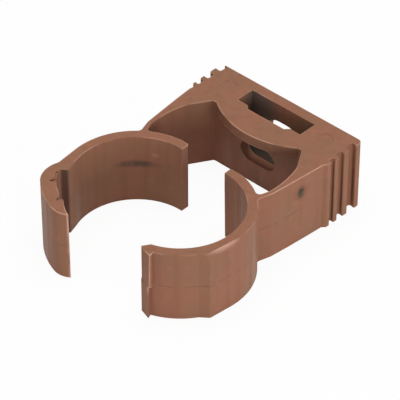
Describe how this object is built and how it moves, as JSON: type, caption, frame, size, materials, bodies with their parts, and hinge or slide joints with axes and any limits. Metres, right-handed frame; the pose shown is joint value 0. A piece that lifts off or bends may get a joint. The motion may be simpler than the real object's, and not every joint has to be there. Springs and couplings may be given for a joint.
{
  "type": "pipe clip",
  "caption": "Self-closing pipe clip moulded in one piece: two hinged jaws with ears and a latch on a screw-on base whose toothed sides couple to the next clip.",
  "frame": {"origin": "centre of the wall face, on the screw axis and at mid-height", "axes": "+Y out of the wall face towards the wall, so the jaws point along -Y; +Z along the pipe axis, with the brow at the top; +X towards the jaw with the tongue"},
  "size_m": [0.0464, 0.0626, 0.0176],
  "materials": {
    "brown_plastic": "copper-brown moulded plastic, satin"
  },
  "bodies": {
    "root": {"pipe_clip": "brown_plastic"}
  },
  "joints": []
}
